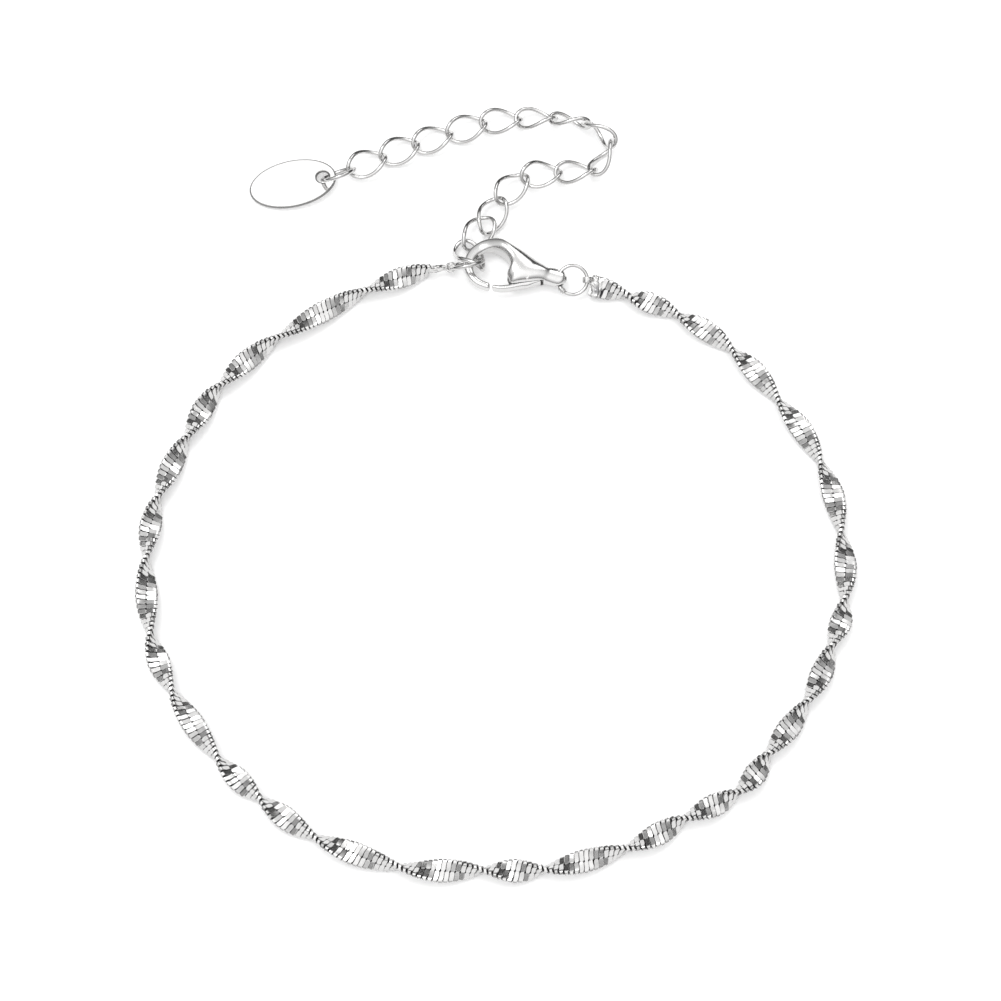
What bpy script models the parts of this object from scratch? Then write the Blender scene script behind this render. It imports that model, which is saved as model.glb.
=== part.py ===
"""A chain bracelet: a twisted two-row chain closed by a lobster clasp, with an extender chain and an oval tag.

The bracelet lies on the plane z = 0. The middle of its outline is at the origin, and the clasp, the
extender chain and the tag are on the +Y side. Every named size is in millimetres and becomes metres
in mm(), where the meshes are made.
"""
import math

import bpy
import bmesh
from mathutils import Matrix, Vector

MM = 0.001

# Twisted chain
CHAIN_WIDTH = 1.95
CHAIN_THICKNESS = 0.50
CHAIN_CORNER = 0.14
CHAIN_LIFT = CHAIN_WIDTH / 2 + 0.01
SECTION_STEP = 0.62
ROUTE_FINENESS = 12
# The way the band's width points wherever it stands on edge: nearly upright, leaning towards -Y.
EDGE_DIRECTION = Vector((0.0, -0.375, 0.927))
# The band stands on edge at each of these points (x, y), half a turn after the point before it.
CHAIN_ROUTE = [
    (11.3, 16.5), (15.5, 14.7), (20.1, 11.4), (23.9, 6.7), (27.3, 1.0), (28.8, -5.3), (28.9, -11.4),
    (27.7, -15.5), (25.5, -20.3), (22.2, -24.8), (19.6, -28.1), (15.4, -30.3), (10.6, -32.8),
    (4.0, -34.6), (-0.9, -34.7), (-7.6, -34.5), (-14.5, -32.1), (-19.1, -28.9), (-22.7, -25.5),
    (-26.7, -19.8), (-28.8, -14.8), (-29.5, -8.1), (-28.8, -2.5), (-26.6, 3.0), (-23.9, 7.9),
    (-19.0, 12.5), (-11.5, 17.0), (-5.7, 19.2),
]
# The last quarter turn leads from the first point to the soldered tip, which lies flat.
TIP_BEND = (9.1, 17.2)
TIP_END = (7.99, 17.45)

# Jump rings
RING_B_RADIUS = 1.27
RING_B_WIRE = 0.33
RING_B_CENTRE = Vector((6.45, 17.90, 1.25))
RING_B_NORMAL = Vector((0.0, -0.375, 0.927))
RING_A_RADIUS = 1.48
RING_A_WIRE = 0.38
RING_A_CENTRE = Vector((-2.79, 19.349, 1.445))
RING_A_NORMAL = Vector((-0.213, 0.815, 0.539))
TAG_RING_RADIUS = 1.50
TAG_RING_WIRE = 0.38
TAG_RING_CENTRE = Vector((-14.189, 28.235, 1.428))
TAG_RING_NORMAL = Vector((-0.329, 0.747, 0.577))
RING_POINTS = 24

# Eyes at the soldered ends of the twisted chain
EYE_CLEARANCE = 0.08
EYE_WALL = 0.18
EYE_LENGTH = 0.50
TAB_RADIUS = 0.25
# Where round its ring the left eye sits, in degrees from the ring's +X end.
LEFT_EYE_ANGLE = 165.0

# Extender chain
LINK_LENGTH = 4.05
LINK_WIDTH = 2.75
LINK_WIRE = 0.38
LINK_TWIST = 90.0
LINK_POINTS = 16
# One row for each link from the tag to the clasp: centre x, y, z, then in degrees the way its length
# points, how far that rises, and how far the link rolls about it.
EXTENDER_LINKS = [
    (-11.74, 29.63, 0.98, 27.8, -6.1, 6.5),
    (-8.88, 31.01, 0.76, 24.7, -2.1, 10.2),
    (-5.92, 32.18, 0.71, 20.7, -0.2, 1.5),
    (-2.89, 33.24, 0.79, 17.7, 2.4, 7.1),
    (0.19, 33.93, 0.93, 5.0, 0.4, -6.6),
    (3.33, 34.03, 1.20, -5.0, 8.3, -26.5),
    (6.37, 33.63, 1.47, -13.2, 4.5, -56.7),
    (9.00, 32.29, 1.71, -42.3, 7.4, -83.7),
    (9.26, 30.03, 1.24, -118.8, -5.8, -124.8),
    (6.85, 28.83, 0.86, -176.1, -3.3, -157.6),
    (3.75, 28.55, 0.94, -167.0, 9.2, -3.0),
    (1.10, 27.05, 1.12, -134.2, 1.6, -5.6),
    (-0.61, 24.45, 0.90, -116.8, -3.7, -15.2),
    (-1.83, 22.70, 0.88, -129.7, -0.1, -20.7),
    (-2.50, 20.38, 1.01, -56.2, 13.6, -27.8),
]

# Oval tag
TAG_LENGTH = 7.8
TAG_WIDTH = 4.6
TAG_THICKNESS = 0.36
TAG_EDGE = 0.05
TAG_CENTRE = Vector((-18.27, 27.78, 0.52))
TAG_HEADING = 11.0
TAG_TILT = 4.5
TAG_HOLE_RADIUS = 0.56
TAG_HOLE_INSET = 1.18
TAG_POINTS = 36
TAG_HOLE_POINTS = 16

# Lobster clasp, drawn flat about its hook's centre with the tail towards its own +X
CLASP_CENTRE = Vector((-0.60, 19.32, 1.25))
CLASP_HEADING = -12.0
CLASP_REACH = 5.95
CLASP_THICKNESS = 2.30
ARM_THICKNESS = 0.95
HOOK_TIP_THICKNESS = 0.90
TAIL_THICKNESS = 1.24
HOOK_RADIUS = 2.43
OPENING_RADIUS = 1.60
OPENING_DROP = 0.20
TAIL_RADIUS = 0.62
TAIL_HOLE_CLEARANCE = 0.21
CLASP_CORNER = 0.30
PIVOT_ALONG_SHARE = 0.5546
PIVOT_ACROSS_SHARE = -0.3539
PIN_RADIUS = 0.18
LEVER_THICKNESS = 0.90
LEVER_CLEARANCE = 0.08


def mm(point):
    """A point in millimetres as a vector in metres."""
    return Vector(point) * MM


def silver(name, roughness):
    """Polished silver with its own roughness."""
    material = bpy.data.materials.new(name)
    material.use_nodes = True
    shader = material.node_tree.nodes["Principled BSDF"]
    shader.inputs["Base Color"].default_value = (0.90, 0.89, 0.87, 1.0)
    shader.inputs["Metallic"].default_value = 1.0
    shader.inputs["Roughness"].default_value = roughness
    return material


def clear_scene():
    """Remove every object that the scene starts with."""
    for obj in list(bpy.data.objects):
        bpy.data.objects.remove(obj, do_unlink=True)


def make_collection(name):
    """A collection linked to the scene."""
    collection = bpy.data.collections.new(name)
    bpy.context.scene.collection.children.link(collection)
    return collection


def place(obj, collection, material=None):
    """Link an object to its collection and give it its material."""
    collection.objects.link(obj)
    if material:
        obj.data.materials.append(material)
    return obj


def loft(name, sections):
    """A closed mesh through sections of equally many points, with a flat cap at each end."""
    bm = bmesh.new()
    rings = [[bm.verts.new(mm(point)) for point in section] for section in sections]
    count = len(rings[0])
    for ring, after in zip(rings, rings[1:]):
        for i in range(count):
            j = (i + 1) % count
            bm.faces.new((ring[i], ring[j], after[j], after[i]))
    bm.faces.new(list(reversed(rings[0])))
    bm.faces.new(rings[-1])
    bmesh.ops.recalc_face_normals(bm, faces=bm.faces)
    mesh = bpy.data.meshes.new(name)
    bm.to_mesh(mesh)
    bm.free()
    return bpy.data.objects.new(name, mesh)


def rounded_box_section(centre, across, up, width, height, corner, steps=2):
    """The outline of a rectangle with rounded corners, drawn in the plane of across and up."""
    points = []
    for turn in range(4):
        side = (1, -1, -1, 1)[turn]
        top = (1, 1, -1, -1)[turn]
        for step in range(steps + 1):
            angle = math.radians(90.0 * (turn + step / steps))
            x = side * (width / 2 - corner) + corner * math.cos(angle)
            y = top * (height / 2 - corner) + corner * math.sin(angle)
            points.append(centre + across * x + up * y)
    return points


def route_point(points, at):
    """A point on the smooth curve through the points, where at counts the points passed so far."""
    last = len(points) - 1
    i = min(max(int(math.floor(at)), 0), last - 1)
    t = at - i
    before = points[i - 1] if i > 0 else points[0] * 2 - points[1]
    after = points[i + 2] if i + 2 <= last else points[last] * 2 - points[last - 1]
    start, end = points[i], points[i + 1]
    lead = (end - before) / 2
    trail = (after - start) / 2
    return (
        start * (2 * t**3 - 3 * t**2 + 1)
        + lead * (t**3 - 2 * t**2 + t)
        + end * (3 * t**2 - 2 * t**3)
        + trail * (t**3 - t**2)
    )


def chain_stations():
    """Points along the twisted chain at equal steps: place, direction and the way the width points."""
    flat = [Vector((x, y, CHAIN_LIFT)) for x, y in [TIP_END, TIP_BEND] + CHAIN_ROUTE]
    lead_in = 2
    samples = []
    for k in range((len(flat) - 1) * ROUTE_FINENESS + 1):
        at = k / ROUTE_FINENESS
        # Half turns so far: none along the tip, half of one to the first point, then one for each point.
        turns = (at - lead_in) if at > lead_in else max((at - lead_in) / 2, -0.5)
        samples.append((route_point(flat, at), turns))
    lengths = [0.0]
    for (start, _), (end, _) in zip(samples, samples[1:]):
        lengths.append(lengths[-1] + (end - start).length)
    count = round(lengths[-1] / SECTION_STEP)
    stations = []
    k = 0
    for n in range(count + 1):
        goal = lengths[-1] * n / count
        while k < len(samples) - 2 and lengths[k + 1] < goal:
            k += 1
        share = (goal - lengths[k]) / (lengths[k + 1] - lengths[k])
        spot = samples[k][0].lerp(samples[k + 1][0], share)
        turns = samples[k][1] + (samples[k + 1][1] - samples[k][1]) * share
        stations.append((spot, (samples[k + 1][0] - samples[k][0]).normalized(), turns))
    result = []
    for spot, ahead, turns in stations:
        upright = (EDGE_DIRECTION - ahead * EDGE_DIRECTION.dot(ahead)).normalized()
        width_way = Matrix.Rotation(math.pi * turns, 3, ahead) @ upright
        result.append((spot, ahead, width_way))
    return result


def chain_band():
    """The twisted band without its eyes."""
    sections = []
    for spot, ahead, width_way in chain_stations():
        face_way = ahead.cross(width_way)
        sections.append(
            rounded_box_section(spot, width_way, face_way, CHAIN_WIDTH, CHAIN_THICKNESS, CHAIN_CORNER, 1)
        )
    return loft("twisted_chain", sections)


def ring_axes(normal):
    """A ring's two directions in its own plane: the level-most one towards +X, and the one across it."""
    normal = normal.normalized()
    along = (Vector((1, 0, 0)) - normal * normal.x).normalized()
    return along, normal.cross(along)


def ring_point(centre, normal, radius, degrees):
    """A point on the middle line of a ring's wire, and the way the wire runs there."""
    along, across = ring_axes(normal)
    angle = math.radians(degrees)
    spot = centre + (along * math.cos(angle) + across * math.sin(angle)) * radius
    return spot, across * math.cos(angle) - along * math.sin(angle)


def wire_loop(name, points, wire):
    """A closed loop of round wire through the points."""
    curve = bpy.data.curves.new(name, "CURVE")
    curve.dimensions = "3D"
    curve.bevel_depth = wire / 2 * MM
    curve.bevel_resolution = 1
    spline = curve.splines.new("POLY")
    spline.points.add(len(points) - 1)
    for target, point in zip(spline.points, points):
        target.co = (*mm(point), 1.0)
    spline.use_cyclic_u = True
    return bpy.data.objects.new(name, curve)


def ring_path(centre, normal, radius):
    """The middle line of a ring's wire."""
    return [ring_point(centre, normal, radius, 360.0 * k / RING_POINTS)[0] for k in range(RING_POINTS)]


def link_path(row):
    """The middle line of one curb link: an oval whose two ends are turned against each other."""
    centre = Vector(row[:3])
    heading, rise, roll = (math.radians(angle) for angle in row[3:])
    ahead = Vector((math.cos(heading) * math.cos(rise), math.sin(heading) * math.cos(rise), math.sin(rise)))
    side = Vector((-math.sin(heading), math.cos(heading), 0))
    half_length = (LINK_LENGTH - LINK_WIRE) / 2
    half_width = (LINK_WIDTH - LINK_WIRE) / 2
    points = []
    for k in range(LINK_POINTS):
        angle = 2 * math.pi * k / LINK_POINTS
        share = math.cos(angle)
        turn = roll - math.radians(LINK_TWIST) / 2 * share
        sideways = Matrix.Rotation(turn, 3, ahead) @ side
        points.append(centre + ahead * half_length * share + sideways * half_width * math.sin(angle))
    return points


def cylinder(name, start, end, radius, sides=12):
    """A plain cylinder from one point to another."""
    start, end = mm(start), mm(end)
    bm = bmesh.new()
    bmesh.ops.create_cone(
        bm, cap_ends=True, segments=sides, radius1=radius * MM, radius2=radius * MM, depth=(end - start).length
    )
    mesh = bpy.data.meshes.new(name)
    bm.to_mesh(mesh)
    bm.free()
    obj = bpy.data.objects.new(name, mesh)
    turn = (end - start).to_track_quat("Z", "Y").to_matrix().to_4x4()
    obj.matrix_world = Matrix.Translation((start + end) / 2) @ turn
    return obj


def combine(obj, other, operation, cutters):
    """Join a helper solid to an object, or cut it away."""
    place(other, cutters)
    other.hide_render = True
    other.display_type = "WIRE"
    modifier = obj.modifiers.new(operation.title() + " " + other.name, "BOOLEAN")
    modifier.operation = operation
    modifier.object = other


def add_eye(chain, name, spot, ahead, wire, anchor, cutters):
    """A short tube round a ring's wire, a tab that joins it to the chain's end, and the bore through it."""
    bore = wire / 2 + EYE_CLEARANCE
    half = ahead.normalized() * EYE_LENGTH / 2
    combine(chain, cylinder(name, spot - half, spot + half, bore + EYE_WALL), "UNION", cutters)
    reach = (spot - anchor).normalized() * (bore + EYE_WALL / 2)
    combine(chain, cylinder(name + "_tab", anchor, spot - reach, TAB_RADIUS), "UNION", cutters)
    combine(chain, cylinder(name + "_bore", spot - half * 2, spot + half * 2, bore), "DIFFERENCE", cutters)


def make_chain(parts, cutters):
    """The twisted band with a soldered tip and an eye at each end."""
    chain = place(chain_band(), parts, silver("Chain silver", 0.22))
    stations = chain_stations()
    spot, ahead = ring_point(RING_B_CENTRE, RING_B_NORMAL, RING_B_RADIUS, 0.0)
    add_eye(chain, "right_eye", spot, ahead, RING_B_WIRE, stations[2][0], cutters)
    spot, ahead = ring_point(RING_A_CENTRE, RING_A_NORMAL, RING_A_RADIUS, LEFT_EYE_ANGLE)
    add_eye(chain, "left_eye", spot, ahead, RING_A_WIRE, stations[-2][0], cutters)
    return chain


def make_rings(parts):
    """The three jump rings."""
    rings = [
        ("jump_ring_clasp", RING_B_CENTRE, RING_B_NORMAL, RING_B_RADIUS, RING_B_WIRE),
        ("jump_ring_chain_end", RING_A_CENTRE, RING_A_NORMAL, RING_A_RADIUS, RING_A_WIRE),
        ("jump_ring_tag", TAG_RING_CENTRE, TAG_RING_NORMAL, TAG_RING_RADIUS, TAG_RING_WIRE),
    ]
    for name, centre, normal, radius, wire in rings:
        place(wire_loop(name, ring_path(centre, normal, radius), wire), parts, silver(name, 0.15))


def make_extender(parts):
    """The extender chain's links."""
    for i, row in enumerate(EXTENDER_LINKS, start=1):
        name = f"extender_link_{i:02d}"
        place(wire_loop(name, link_path(row), LINK_WIRE), parts, silver(name, 0.15))


def flat_outline(name, outlines, thickness, edge):
    """A flat plate from closed outlines, with its edges rounded."""
    curve = bpy.data.curves.new(name, "CURVE")
    curve.dimensions = "2D"
    curve.fill_mode = "BOTH"
    curve.extrude = (thickness / 2 - edge) * MM
    curve.bevel_depth = edge * MM
    curve.bevel_resolution = 1
    curve.offset = -edge * MM
    for outline in outlines:
        spline = curve.splines.new("POLY")
        spline.points.add(len(outline) - 1)
        for target, (x, y) in zip(spline.points, outline):
            target.co = (x * MM, y * MM, 0.0, 1.0)
        spline.use_cyclic_u = True
    return bpy.data.objects.new(name, curve)


def oval(half_length, half_width, count, shift=0.0):
    """Points round an ellipse."""
    angles = [2 * math.pi * k / count for k in range(count)]
    return [(shift + half_length * math.cos(a), half_width * math.sin(a)) for a in angles]


def make_tag(parts):
    """The oval tag with its hole at the end nearer the extender."""
    hole_at = TAG_LENGTH / 2 - TAG_HOLE_INSET
    outlines = [
        oval(TAG_LENGTH / 2, TAG_WIDTH / 2, TAG_POINTS),
        oval(TAG_HOLE_RADIUS, TAG_HOLE_RADIUS, TAG_HOLE_POINTS, hole_at),
    ]
    tag = place(flat_outline("oval_tag", outlines, TAG_THICKNESS, TAG_EDGE), parts, silver("Tag silver", 0.12))
    tag.location = mm(TAG_CENTRE)
    tag.rotation_euler = (0.0, -math.radians(TAG_TILT), math.radians(TAG_HEADING))
    return tag


def clasp_matrix():
    """From the clasp's own drawing to its place."""
    return Matrix.Translation(CLASP_CENTRE * MM) @ Matrix.Rotation(math.radians(CLASP_HEADING), 4, "Z")


def hook_outer(degrees):
    """A point on the outside of the hook."""
    angle = math.radians(degrees)
    return Vector((HOOK_RADIUS * math.cos(angle), HOOK_RADIUS * math.sin(angle), 0))


def hook_inner(degrees):
    """A point on the round opening of the hook, which sits a little low and so thins the tip."""
    angle = math.radians(degrees)
    return Vector((OPENING_RADIUS * math.cos(angle), OPENING_RADIUS * math.sin(angle) - OPENING_DROP, 0))


def body_point(along, across):
    """A point of the clasp's body: along as a share of its reach, across as a share of its hook."""
    return Vector((along * CLASP_REACH, across * HOOK_RADIUS, 0))


def clasp_sections():
    """Pairs of points on the two sides of the clasp, from the hook's tip round to the tail, with thickness."""
    arm, full, tail = ARM_THICKNESS, CLASP_THICKNESS, TAIL_THICKNESS
    rows = [(hook_outer(275), hook_inner(273), HOOK_TIP_THICKNESS * 0.8)]
    for degrees in range(268, 129, -23):
        share = (268 - degrees) / 138
        rows.append((hook_outer(degrees), hook_inner(degrees), HOOK_TIP_THICKNESS + (arm - HOOK_TIP_THICKNESS) * share))
    swell = [(112, 110, 0.25), (96, 92, 0.60), (80, 72, 0.90)]
    rows += [(hook_outer(a), hook_inner(b), arm + (full - arm) * share) for a, b, share in swell]
    rows += [
        (hook_outer(66), hook_inner(50), full),
        (body_point(0.26, 0.85), hook_inner(28), full),
        (body_point(0.36, 0.77), hook_inner(4), full),
        (body_point(0.47, 0.66), hook_inner(-22), full),
        (body_point(0.56, 0.55), body_point(0.29, -0.52), full),
        (body_point(0.64, 0.46), body_point(0.34, -0.68), full),
        (body_point(0.70, 0.40), body_point(0.48, -0.57), full),
        (body_point(0.76, 0.34), body_point(0.62, -0.45), full * 0.95),
        (body_point(0.83, 0.28), body_point(0.76, -0.34), full * 0.82),
    ]
    reach = CLASP_REACH
    rows += [
        (Vector((reach - 0.75, TAIL_RADIUS, 0)), Vector((reach - 0.85, -TAIL_RADIUS, 0)), tail * 1.1),
        (Vector((reach, TAIL_RADIUS, 0)), Vector((reach, -TAIL_RADIUS, 0)), tail),
        (Vector((reach + 0.40, TAIL_RADIUS * 0.78, 0)), Vector((reach + 0.40, -TAIL_RADIUS * 0.78, 0)), tail * 0.9),
        (Vector((reach + 0.60, TAIL_RADIUS * 0.40, 0)), Vector((reach + 0.60, -TAIL_RADIUS * 0.40, 0)), tail * 0.6),
    ]
    return rows


def clasp_shell():
    """The clasp's body and hook as one loft."""
    sections = []
    for outer, inner, thickness in clasp_sections():
        across = outer - inner
        corner = min(CLASP_CORNER, across.length * 0.35, thickness * 0.35)
        sections.append(
            rounded_box_section(
                (outer + inner) / 2, across.normalized(), Vector((0, 0, 1)), across.length, thickness, corner
            )
        )
    return loft("clasp_body", sections)


def prism(name, outline, thickness):
    """A straight-sided plate from an outline in the clasp's drawing plane."""
    sections = [[Vector((x, y, z)) for x, y in outline] for z in (-thickness / 2, thickness / 2)]
    return loft(name, sections)


def lever_outline():
    """The lever's outline: a gate that meets the hook's tip, a hub at the pin and a short thumb end."""
    # Each row: along and across as shares of the clasp's reach and hook, half the lever's width in mm.
    rows = [
        (0.088, -0.880, 0.12),
        (0.105, -0.873, 0.20),
        (0.200, -0.852, 0.22),
        (0.335, -0.748, 0.24),
        (0.450, -0.585, 0.32),
        (0.555, -0.390, 0.54),
        (0.660, -0.350, 0.30),
        (0.755, -0.290, 0.14),
    ]
    spots = [(body_point(along, across), half) for along, across, half in rows]
    left, right = [], []
    for i, (spot, half) in enumerate(spots):
        before = spots[max(i - 1, 0)][0]
        after = spots[min(i + 1, len(spots) - 1)][0]
        way = (after - before).normalized()
        side = Vector((-way.y, way.x, 0)) * half
        left.append(spot + side)
        right.append(spot - side)
    return [(p.x, p.y) for p in left + right[::-1]]


def slot_outline():
    """The slot that takes the lever, open towards the hook's opening and the clasp's lower edge."""
    return [
        tuple(body_point(0.17, -0.30).xy),
        tuple(body_point(0.17, -1.20).xy),
        tuple(body_point(0.70, -1.10).xy),
        tuple(body_point(0.81, -0.60).xy),
        tuple(body_point(0.79, -0.08).xy),
        tuple(body_point(0.45, -0.08).xy),
    ]


def make_clasp(parts, cutters):
    """The clasp's body with its lever's slot, pin and tail hole, and the lever on its own axis."""
    body = place(clasp_shell(), parts, silver("Clasp silver", 0.12))
    body.matrix_world = clasp_matrix()
    slot = prism("lever_slot", slot_outline(), LEVER_THICKNESS + 2 * LEVER_CLEARANCE)
    slot.matrix_world = clasp_matrix()
    combine(body, slot, "DIFFERENCE", cutters)
    pivot = body_point(PIVOT_ALONG_SHARE, PIVOT_ACROSS_SHARE)
    pin_half = Vector((0, 0, CLASP_THICKNESS * 0.40))
    pin = cylinder("lever_pin", pivot - pin_half, pivot + pin_half, PIN_RADIUS)
    pin.matrix_world = clasp_matrix() @ pin.matrix_world
    combine(body, pin, "UNION", cutters)
    spot, ahead = ring_point(RING_B_CENTRE, RING_B_NORMAL, RING_B_RADIUS, 180.0)
    hole = RING_B_WIRE / 2 + TAIL_HOLE_CLEARANCE
    reach = ahead * TAIL_RADIUS * 2
    inward = Vector((TAIL_HOLE_CLEARANCE * 0.4, 0.0, 0.0))
    combine(body, cylinder("tail_hole", spot + inward - reach, spot + inward + reach, hole), "DIFFERENCE", cutters)

    lever = place(prism("clasp_lever", lever_outline(), LEVER_THICKNESS), parts, silver("Lever silver", 0.12))
    for vertex in lever.data.vertices:
        vertex.co -= pivot * MM
    lever.matrix_world = clasp_matrix() @ Matrix.Translation(pivot * MM)
    bore_half = Vector((0, 0, LEVER_THICKNESS))
    bore = cylinder("lever_bore", pivot - bore_half, pivot + bore_half, PIN_RADIUS + LEVER_CLEARANCE)
    bore.matrix_world = clasp_matrix() @ bore.matrix_world
    combine(lever, bore, "DIFFERENCE", cutters)


def main():
    """Build the bracelet."""
    clear_scene()
    parts = make_collection("chain_bracelet")
    cutters = make_collection("cutters")
    make_chain(parts, cutters)
    make_rings(parts)
    make_clasp(parts, cutters)
    make_extender(parts)
    make_tag(parts)


main()
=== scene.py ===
"""The looks of a silver chain bracelet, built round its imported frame.

The lists and sizes below are in millimetres in the bracelet's own frame, and become metres where a mesh
is made. The panel's settings are in metres.
"""
import math

import bpy
import numpy as np
from mathutils import Matrix, Vector


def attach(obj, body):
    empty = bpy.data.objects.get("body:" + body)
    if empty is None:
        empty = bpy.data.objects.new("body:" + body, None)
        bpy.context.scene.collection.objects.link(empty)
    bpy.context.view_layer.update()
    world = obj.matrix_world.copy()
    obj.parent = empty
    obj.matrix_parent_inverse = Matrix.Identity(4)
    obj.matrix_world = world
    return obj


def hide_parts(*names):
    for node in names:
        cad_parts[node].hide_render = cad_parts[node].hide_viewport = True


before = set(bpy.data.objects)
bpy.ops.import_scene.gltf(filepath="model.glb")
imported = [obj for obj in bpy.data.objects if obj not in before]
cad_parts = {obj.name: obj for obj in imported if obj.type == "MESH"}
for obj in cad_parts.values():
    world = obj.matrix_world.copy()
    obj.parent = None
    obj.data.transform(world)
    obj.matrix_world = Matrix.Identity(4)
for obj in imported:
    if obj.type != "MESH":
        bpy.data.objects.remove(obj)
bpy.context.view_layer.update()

bl_info = {
    "name": "Chain Bracelet",
    "version": (1, 0, 0),
    "blender": (4, 5, 0),
    "location": "View3D > Sidebar > Bracelet",
    "description": "Builds a twisted silver chain bracelet with its clasp, extender chain and tag",
    "category": "Object",
}

MM = 0.001
ROOT = "root"
LEVER = "lever"

# Camera: its height angle, its distance and the point that it looks at
CAMERA_ELEVATION = 68.0
CAMERA_DISTANCE = 236.0
CAMERA_AIM = (0.15, -2.32, 0.0)
CAMERA_LENS = 100.0
CAMERA_SENSOR = 36.0

# Room that the silver reflects: its brightest direction, and the brightness by nearness to it
ROOM_BRIGHTEST = (-0.10, -0.25, 0.963)
ROOM_STEPS = [
    (0.0, 0.05), (0.18, 0.07), (0.38, 0.26), (0.58, 0.46), (0.76, 0.68), (0.90, 0.95), (1.0, 1.0),
]
ROOM_STRENGTH = 1.55

# Floor and lamps: a lamp's place and size in metres, and its power in watts
FLOOR_SIZE = 3.0
FLOOR_GLOW = 0.22
LAMPS = {
    "key_light": ((-0.14, 0.10, 0.52), 0.26, 0.60),
    "back_light": ((0.16, 0.32, 0.36), 0.26, 0.30),
}

# Silver finishes: shares of the silver tone and shade, roughness, wave height and wave scale
FINISHES = {
    "Chain silver": (0.78, 0.8, 0.20, 0.8, 2500.0),
    "Solder silver": (0.85, 0.6, 0.22, 12.0, 2500.0),
    "Ring silver": (0.72, 0.7, 0.07, 2.0, 700.0),
    "Clasp silver": (0.80, 0.9, 0.20, 1.2, 320.0),
    "Lever silver": (0.80, 0.9, 0.20, 1.2, 320.0),
    "Link silver": (0.80, 0.8, 0.08, 3.0, 800.0),
}
WAVE_DEPTH = 0.00001
HAZE_SCALE = 2600.0
# Painted shade: the near-black grey that the silver is darkened to where a piece's depth value says,
# standing in for shade in gaps.
PAINTED_GAP_SHADE = (0.12, 0.12, 0.125, 1.0)

# Twisted chain: the way its edge faces at the start, and its route seen from above
EDGE_DIRECTION = np.array([0.0, -0.375, 0.927])
CHAIN_ROUTE = [
    (11.3, 16.5), (15.5, 14.7), (20.1, 11.4), (23.9, 6.7), (27.3, 1.0), (28.8, -5.3), (28.9, -11.4),
    (27.7, -15.5), (25.5, -20.3), (22.2, -24.8), (19.6, -28.1), (15.4, -30.3), (10.6, -32.8),
    (4.0, -34.6), (-0.9, -34.7), (-7.6, -34.5), (-14.5, -32.1), (-19.1, -28.9), (-22.7, -25.5),
    (-26.7, -19.8), (-28.8, -14.8), (-29.5, -8.1), (-28.8, -2.5), (-26.6, 3.0), (-23.9, 7.9),
    (-19.0, 12.5), (-11.5, 17.0), (-5.7, 19.2),
]
TIP_BEND = (9.1, 17.2)
TIP_END = (7.99, 17.45)
COURSE_FINENESS = 40
COURSE_LEAD_IN = 2.0
COURSE_LIFT = 0.01

# Weave: how the two rows' coils run, and how their bars are cut, narrowed and set
ROW_START = 0.9
ROW_END_GAP = 0.35
ROW_SEEDS = {1.0: 7, -1.0: 11}
ROW_SEAM_GAP = 0.008
COIL_STEPS = 20
COIL_SQUARE = 0.55
COIL_LEAN = 0.055
SEAM_REACH = 0.22
SEAM_SQUARE = 0.4
BAR_CUT = 0.028
BAR_EASE = 0.3
BAR_SWAY = 0.06
EDGE_NARROWING = 0.45
POINT_NARROWING = 0.85
POINT_START = 0.70
ODD_BAR_SHARE = 0.09
ODD_BAR_TILT = 3.2

# Chain ends: solder at the right end, an eye at both, and a wedge of solder at the left
TIP_RUNS = (0.02, 1.05)
TIP_THICKNESS = ([0.0, 0.15, 0.5, 1.05], [0.30, 0.44, 0.50, 0.44])
TIP_WIDTH = ([0.0, 0.12, 0.4, 1.05], [1.60, 1.86, 1.95, 1.88])
TIP_LUMPS = 0.030
WEDGE_WIDTH = ([0.0, 0.15, 0.6, 1.0], [1.5, 1.3, 0.9, 0.5])
WEDGE_THICKNESS = ([0.0, 0.2, 1.0], [0.34, 0.46, 0.40])
WEDGE_LUMPS = 0.024
EYE_TAB_WIDTH = 0.50
EYE_TAB_GAP = 0.09
# Painted shade: how far the dimple's painted shade reaches on the solder.
DIMPLE_SHADE_RADIUS = 0.33

# Jump rings: centre, normal, radius of the wire's middle line, wire thickness
RINGS = {
    "jump_ring_clasp": ((6.45, 17.90, 1.25), (0.0, -0.375, 0.927), 1.27, 0.33),
    "jump_ring_chain_end": ((-2.79, 19.349, 1.445), (-0.213, 0.815, 0.539), 1.48, 0.38),
    "jump_ring_tag": ((-14.189, 28.235, 1.428), (-0.329, 0.747, 0.577), 1.50, 0.38),
}
LEFT_EYE_ANGLE = 165.0
SOLDER_ANGLE = 222.0
SOLDER_SPREAD = 14.0
# Painted shade: the spot on the solder where a dimple's shade is painted.
SOLDER_DIMPLE_SHADE = (8.51, 17.0)
EYE_CLEARANCE = 0.08
EYE_WALL = 0.18
EYE_LENGTH = 0.50

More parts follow.
